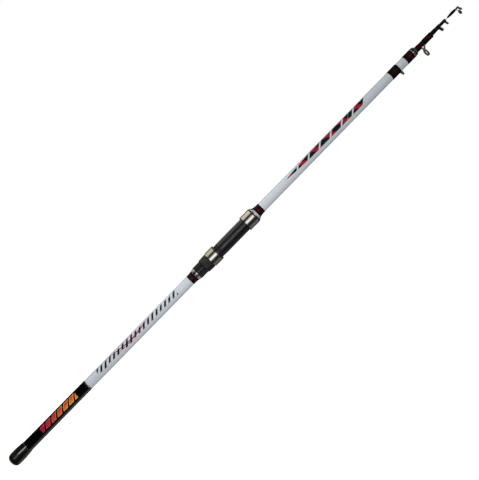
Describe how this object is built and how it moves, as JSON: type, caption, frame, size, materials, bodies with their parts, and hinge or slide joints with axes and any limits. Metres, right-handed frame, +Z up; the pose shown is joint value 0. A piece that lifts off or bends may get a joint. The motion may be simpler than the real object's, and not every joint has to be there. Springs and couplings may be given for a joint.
{
  "type": "telescopic boat rod",
  "caption": "Closed telescopic boat fishing rod: white butt section with screw reel seat, nested upper sections, ringed line guides and a rubber butt cap.",
  "frame": {"origin": "centre of the flat end of the butt cap", "axes": "+Z runs up the rod from the butt cap to the tip, -Y is the side that the reel and the butt guide are on"},
  "size_m": [0.0372, 0.0475, 1.1009],
  "materials": {
    "white_lacquer": "gloss pearl white lacquer over a composite tube",
    "black_gloss": "gloss black lacquer or epoxy over thread",
    "black_rubber": "smooth semi-gloss rubber",
    "red_thread": "dark red thread under clear epoxy",
    "seat_plastic": "satin black moulding",
    "steel": "polished stainless steel",
    "guide_metal": "dark plated wire",
    "ceramic": "polished dark ceramic",
    "dark_blank": "gloss black composite tube",
    "tip_glass": "pale green-white solid glass fibre",
    "inner_plastic": "plain moulded plastic",
    "foam": "stiff foam"
  },
  "bodies": {
    "butt": {"butt_blank": "white_lacquer", "grip_sleeve": "black_gloss", "butt_insert": "inner_plastic", "lower_trim_wrap": "black_gloss", "winding_check": "steel", "seat_barrel": "seat_plastic", "seat_arbor_lower": "foam", "seat_arbor_middle": "foam", "seat_arbor_upper": "foam", "fixed_hood": "seat_plastic", "fixed_hood_band": "steel", "upper_trim_ring": "steel", "upper_trim_wrap": "black_gloss", "butt_guide_frame": "guide_metal", "butt_guide_ring": "ceramic", "butt_guide_wrap": "black_gloss", "mouth_wrap": "black_gloss", "ferrule_ring": "steel", "mouth_collar": "black_gloss"},
    "cap_seal": {"plug_seal": "black_rubber"},
    "cap": {"butt_cap": "black_rubber", "butt_plug": "inner_plastic", "shock_pad": "foam"},
    "hood": {"moving_hood": "seat_plastic", "moving_hood_band": "steel"},
    "nut": {"lock_nut": "seat_plastic"},
    "second_section": {"second_blank": "dark_blank", "second_guide_frame": "guide_metal", "second_guide_ring": "ceramic", "second_lower_wrap": "red_thread", "second_upper_wrap": "black_gloss"},
    "third_section": {"third_blank": "dark_blank", "third_guide_frame": "guide_metal", "third_guide_ring": "ceramic", "third_guide_wrap": "black_gloss"},
    "fourth_section": {"fourth_blank": "dark_blank", "fourth_guide_frame": "guide_metal", "fourth_guide_ring": "ceramic", "fourth_guide_wrap": "black_gloss"},
    "tip_section": {"tip_blank": "tip_glass", "tip_top_frame": "guide_metal", "tip_top_ring": "ceramic"},
    "floating_guide": {"floating_guide_frame": "guide_metal", "floating_guide_ring": "ceramic"}
  },
  "joints": [
    {"name": "cap_travel", "type": "slide", "parent": "butt", "child": "cap_seal", "axis": [0, 0, -1], "range_m": [0, 0.018]},
    {"name": "cap_turn", "type": "hinge", "parent": "cap_seal", "child": "cap", "pos_m": [0, 0, 0], "axis": [0, 0, 1], "range_deg": [-3245, 5]},
    {"name": "hood_travel", "type": "slide", "parent": "butt", "child": "hood", "axis": [0, 0, 1], "range_m": [-0.014, 0.006]},
    {"name": "nut_turn", "type": "hinge", "parent": "hood", "child": "nut", "pos_m": [0, 0, 0.479], "axis": [0, 0, 1], "range_deg": [-2020, 870]},
    {"name": "second_slide", "type": "slide", "parent": "butt", "child": "second_section", "axis": [0, 0, 1], "range_m": [0, 0.82]},
    {"name": "third_slide", "type": "slide", "parent": "second_section", "child": "third_section", "axis": [0, 0, 1], "range_m": [0, 0.875]},
    {"name": "fourth_slide", "type": "slide", "parent": "third_section", "child": "fourth_section", "axis": [0, 0, 1], "range_m": [0, 0.9056]},
    {"name": "tip_slide", "type": "slide", "parent": "fourth_section", "child": "tip_section", "axis": [0, 0, 1], "range_m": [0, 0.9294]},
    {"name": "floating_slide", "type": "slide", "parent": "tip_section", "child": "floating_guide", "axis": [0, 0, 1], "range_m": [-0.31, 0]}
  ],
  "couplings": [
    {"joint": "cap_turn", "follows": "cap_travel", "rad_per_m": -3141.6},
    {"joint": "nut_turn", "follows": "hood_travel", "rad_per_m": 2513.3},
    {"joint": "floating_slide", "follows": "tip_slide", "ratio": -0.33333}
  ]
}
